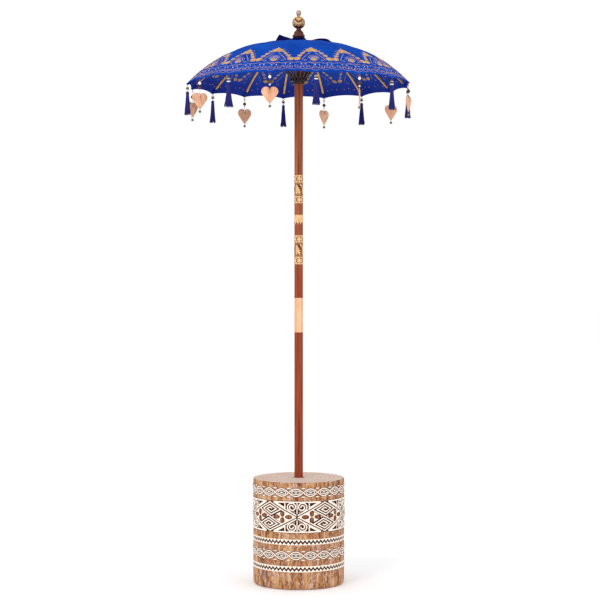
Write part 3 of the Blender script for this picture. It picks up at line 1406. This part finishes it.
# Beads from the top: diameter, height, place, material and shape
HEART_BEADS = ((13, 13, -17, 0, "lozenge"), (15, 15, -35.5, 1, "round"), (8, 7, -49, 0, "round"),
               (12.5, 11, HEART_TOP + LOWER_HOLE - 2 * SMALL_LOOP_R - 6, 2, "round"))
TASSEL_BEADS = ((16, 7.5, -15.6, 0, "round"), (18, 3.6, -21.4, 1, "round"),
                (16, 6, -26.4, 2, "round"))


def eye_of(k):
    """The hole in rib k's tip, where its drop hangs, in millimetres."""
    a = math.radians(rib_angle(k))
    slope = DOME_H * DOME_POWER / RIM_R * (EYE_R / RIM_R) ** (DOME_POWER - 1)
    top = dome_z(EYE_R) - CLOTH_T - CLOTH_GAP - slope * math.tan(HALF) * 4
    return (EYE_R * math.cos(a), EYE_R * math.sin(a), top - 3.6)


def heart_outline():
    lobe = HEART_W / 4 + 2
    side, low = HEART_W / 2 - lobe, -HEART_H
    right = arc((side, -lobe), lobe, 125, -38, 14)
    straight = [(right[-1][0] + (3 - right[-1][0]) * t / 8 + 1.4 * math.sin(math.pi * t / 8),
                 right[-1][1] + (low + 1 - right[-1][1]) * t / 8) for t in range(1, 9)]
    half = [(0, NOTCH_DROP)] + right + straight + [(0, low)]
    return half + [(-x, y) for x, y in half[-2:0:-1]]


def heart_shell():
    """A pillowed wooden heart, standing in the XZ plane with its lobes' tops at height 0."""
    outline = heart_outline()
    n, middle, half_t = len(outline), (0, -30), HEART_T / 2 - 0.4
    shell = Shell()
    rounds = ((1.0, 0.55), (0.965, 0.86), (0.93, 1.0), (0.8, 1.08), (0.6, 1.14), (0.35, 1.17))
    points = []
    for sign in (1, -1):
        for scale, depth in rounds:
            for x, z in outline:
                points.append(((middle[0] + (x - middle[0]) * scale) * MM,
                               sign * depth * half_t * MM,
                               (middle[1] + (z - middle[1]) * scale) * MM))
    rows = len(rounds)
    faces = []
    for face in (0, 1):
        for i in range(rows - 1):
            for j in range(n):
                k = (j + 1) % n
                a = (face * rows + i) * n
                faces.append((a + j, a + k, a + n + k, a + n + j))
        centre = len(points)
        points.append((0, (1, -1)[face] * 1.18 * half_t * MM, middle[1] * MM))
        last = (face * rows + rows - 1) * n
        faces += [(last + j, last + (j + 1) % n, centre) for j in range(n)]
    faces += [(j, (j + 1) % n, rows * n + (j + 1) % n, rows * n + j) for j in range(n)]
    shell.add(points, faces)
    return shell


def bead(shell, centre, d, h, z, kind, shape):
    """A turned bead with a hole through it: round, or a lozenge with a sharp waist."""
    hole, r = CORD_R + 0.3, d / 2
    if shape == "round":
        outer = [(math.cos(math.radians(t)) ** 0.8 * r, math.sin(math.radians(t)) * h / 2)
                 for t in range(-75, 76, 15)]
    else:
        outer = [(r * 0.42, -h / 2), (r * 0.62, -h * 0.4), (r * 0.96, -h * 0.06), (r, 0),
                 (r * 0.96, h * 0.06), (r * 0.62, h * 0.4), (r * 0.42, h / 2)]
    outline = [(hole, outer[0][1])] + outer + [(hole, outer[-1][1])]
    spun(shell, outline, kind, 24, (centre[0], centre[1], centre[2] + z))


def make_beads(name, body, centre, beads, materials):
    shell = Shell()
    for d, h, z, kind, shape in beads:
        bead(shell, centre, d, h, z, kind, shape)
    return shell.piece(name, body, "gilt_bamboo", materials, crease=50)


def wire_ring(shell, centre, radius, z, direction):
    """A ring of wire in the upright plane that faces the given direction, in degrees."""
    a = math.radians(direction)
    path = [((centre[0] - radius * math.sin(t) * math.sin(a)) * MM,
             (centre[1] + radius * math.sin(t) * math.cos(a)) * MM,
             (centre[2] + z + radius * math.cos(t)) * MM)
            for t in (TAU * i / 32 for i in range(32))]
    tube(shell, path, WIRE_R * MM, looped=True)


def hanging_cord(name, k, centre, top, bottom, holds):
    """The twisted cord from a rib's ring to its heart or tassel."""
    shell = Shell()
    n = 28
    path = [(centre[0] * MM, centre[1] * MM, (centre[2] + top + (bottom - top) * i / n) * MM)
            for i in range(n + 1)]
    rings = []
    for i, p in enumerate(path):
        ring = []
        for j in range(10):
            a = TAU * j / 10
            r = CORD_R * MM * (1 + 0.10 * math.cos(2 * a + i * 0.9))
            ring.append((p[0] + r * math.cos(a), p[1] + r * math.sin(a), p[2]))
        rings.append(ring)
    shell.loft(rings)
    body = f"{holds}_{k}"
    piece = shell.piece(name, body, "thread", [CORD])
    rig.replaces(piece, body)
    return piece, path


def make_heart_drop(k):
    body, centre = f"heart_drop_{k}", eye_of(k)
    heart = heart_shell().piece(f"heart_{k}", body, "heart_wood", [HEART], crease=50)
    turn = HEART_TURNS[k // 2 - 1]
    heart.data.transform(Matrix.Translation(Vector(centre) * MM + Vector((0, 0, HEART_TOP * MM)))
                         @ Matrix.Rotation(math.radians(turn), 4, "Z"))
    trim = make_beads(f"heart_beads_{k}", body, centre, HEART_BEADS, [PEARL, NUT, ASH])
    wires = Shell()
    wire_ring(wires, centre, RING_R, -RING_R, rib_angle(k))
    loop_z = HEART_TOP + UPPER_HOLE + LOOP_R
    wire_ring(wires, centre, LOOP_R, loop_z, turn)
    foot_z = HEART_TOP + LOWER_HOLE - SMALL_LOOP_R
    wire_ring(wires, centre, SMALL_LOOP_R, foot_z, turn)
    stem = [(centre[0] * MM, centre[1] * MM, (centre[2] + foot_z - SMALL_LOOP_R - 11 * i / 4) * MM)
            for i in range(5)]
    tube(wires, stem, WIRE_R * MM)
    metal = wires.piece(f"heart_wires_{k}", body, "gilt_bamboo", [WIRE])
    foot = loop_z + LOOP_R - 0.6
    line, path = hanging_cord(f"heart_cord_{k}", k, centre, -9.6, foot, "heart_drop")
    for piece in (heart, trim, metal):
        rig.replaces(piece, body)
    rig.cord(line, exit=path[0], length=(-9.6 - foot) * MM, diameter=2 * CORD_R * MM,
            far_end="object", stiffness="limp", lay="hanging", path=path)


THREAD_R, INNER_THREAD_R = 0.00085, 0.00100   # in metres
BINDING_R = 0.95                              # in millimetres
# How much wider than the usual skirt the hem of some tassels has spread
SPREAD = {11: 1.45, 13: 1.3, 3: 1.1, 15: 1.05}


def skirt_radius(down, flare=1.0):
    """The outside of a tassel's skirt, so far below its top."""
    profile = ((0, 4.6), (6, 6.2), (14, 7.0), (49, 9.5), (86, 12.2), (104, 13.3))
    flare = 1 + (flare - 1) * (down / TASSEL_LEN) ** 1.4
    for (a, ra), (b, rb) in zip(profile, profile[1:]):
        if down <= b:
            return flare * (ra + (rb - ra) * (down - a) / (b - a))
    return flare * profile[-1][1]


def make_tassel(k):
    body, centre = f"tassel_{k}", eye_of(k)
    top = (centre[0], centre[1], centre[2] + SKIRT_TOP)
    threads, flare = Shell(), SPREAD.get(k, 1.0)
    rounds = ((34, 1.0), (26, 0.78), (16, 0.5))   # threads in a round, and how far out it is
    for count, inset in rounds:
        for i in range(count):
            a = TAU * (i + 0.5 * draw.random()) / count
            long = TASSEL_LEN - 1 - 9 * draw.random()
            lift = 2.4 * draw.random() ** 2
            sway, phase = 0.5 * draw.random(), TAU * draw.random()
            path = []
            for j in range(10):
                down = long * j / 9
                r = (skirt_radius(down, flare) - 1.0) * inset + lift * (j / 9) ** 4
                b = a + 0.10 * math.sin(phase + j * 0.7) * (0.4 + down / TASSEL_LEN)
                path.append(polar(top, r + sway * math.sin(phase + j), b, -down))
            thick = THREAD_R if inset == 1.0 else INNER_THREAD_R
            tube(threads, path, [thick * (0.75 if j == 9 else 1) for j in range(10)], 0, 5)
    core = [(0.01, 0.5), (3.2, 0), (4.4, -6), (5.0, -14), (6.4, -49), (8.0, -86), (8.6, -95),
            (0.01, -96)]
    threads.loft(turned(core, 20, lambda a, z: 0.5 * math.sin(10 * a), top), 1)
    skirt = threads.piece(f"tassel_skirt_{k}", body, "tassel_thread", [SILK, SILK_CORE], crease=60)
    binding = Shell()
    for i in range(5):
        down = 2.4 + i * 1.7         # five turns of thread, one under the other
        r = skirt_radius(down) + 0.2
        path = [polar(top, r, TAU * j / 28, -down) for j in range(28)]
        tube(binding, path, BINDING_R * MM, 0, 6, True)
    neck = binding.piece(f"tassel_binding_{k}", body, "tassel_thread", [SILK])
    trim = make_beads(f"tassel_beads_{k}", body, centre, TASSEL_BEADS, [BONE, NUT, PEARL])
    wires = Shell()
    wire_ring(wires, centre, RING_R, -RING_R, rib_angle(k))
    metal = wires.piece(f"tassel_wire_{k}", body, "gilt_bamboo", [WIRE])
    hanging_cord(f"tassel_cord_{k}", k, centre, -9.6, SKIRT_TOP - 1, "tassel")
    for piece in (skirt, neck, trim, metal):
        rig.replaces(piece, body)


def make_drops():
    for k in range(1, RIBS + 1):
        if k % 2:
            make_tassel(k)
        else:
            make_heart_drop(k)


# ---------------------------------------------------------------- the frame's own pieces

def dress_frame():
    finish = {"base_drum": DRUM_WOOD, "lower_pole": POLE_WOOD, "upper_pole": POLE_WOOD,
              "ferrule": FERRULE, "top_notch": DARK_WOOD, "runner": DARK_WOOD,
              "spring_latch": LATCH, "notch_thread": CORD, "runner_thread": CORD}
    for k in range(1, RIBS + 1):
        finish[f"rib_{k}"], finish[f"stretcher_{k}"] = RIB_GILT, STRUT_GILT
    for name, material in finish.items():
        for slot in frame["nodes"][name].material_slots:
            slot.material = material


make_camera()
make_studio()
dress_frame()
make_drum()
make_bands()
make_canopy()
make_crown_cap()
make_crown_tie()
make_finial()
make_drops()

with open("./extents.json", "w") as sizes:
    json.dump({"cad": [list(c) for c in cad_box], "visual": [list(c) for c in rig.bounds()]}, sizes)
